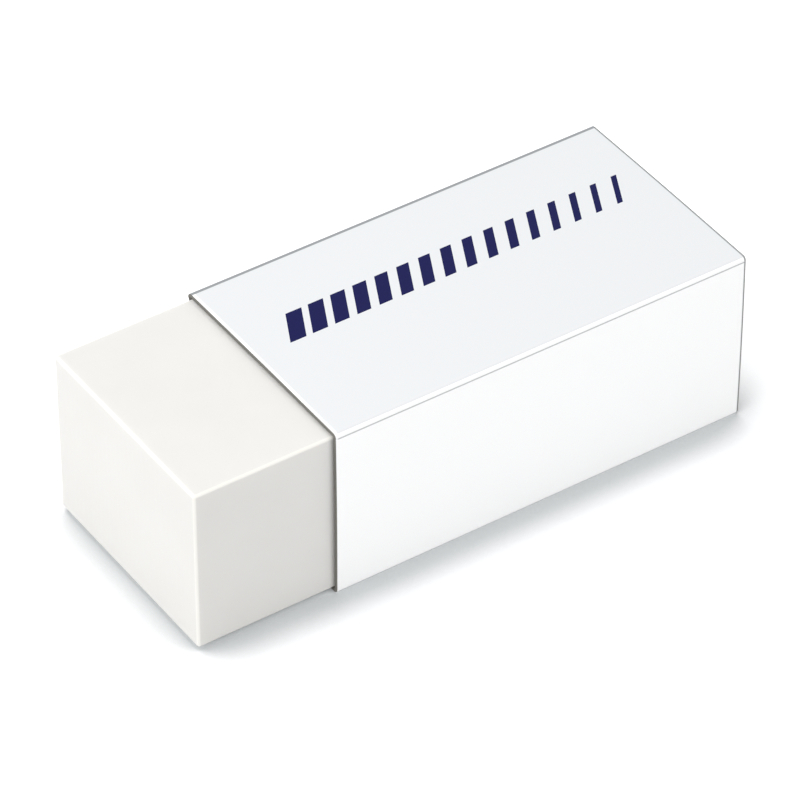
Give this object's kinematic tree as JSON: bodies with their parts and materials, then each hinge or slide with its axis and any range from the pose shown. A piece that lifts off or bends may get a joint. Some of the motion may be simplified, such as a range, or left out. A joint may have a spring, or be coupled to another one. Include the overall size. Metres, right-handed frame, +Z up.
{
  "type": "block eraser",
  "caption": "White vinyl block eraser in a folded card sleeve: the block rubs out pencil with its bare end and is pushed on through the sleeve as it wears.",
  "frame": {"origin": "under the middle of the box round the whole part, on the surface that the sleeve lies on", "axes": "+X along the block from its bare end to the covered end, +Y from the plain long side to the seam side, +Z up"},
  "size_m": [0.0432, 0.0178, 0.0136],
  "materials": {
    "white_vinyl": "matte",
    "coated_card": "satin"
  },
  "bodies": {
    "sleeve": {"card_sleeve": "coated_card"},
    "block": {"eraser_block": "white_vinyl"}
  },
  "joints": [
    {"name": "block_slide", "type": "slide", "parent": "sleeve", "child": "block", "axis": [-1, 0, 0], "range_m": [-0.0105, 0.02]}
  ]
}
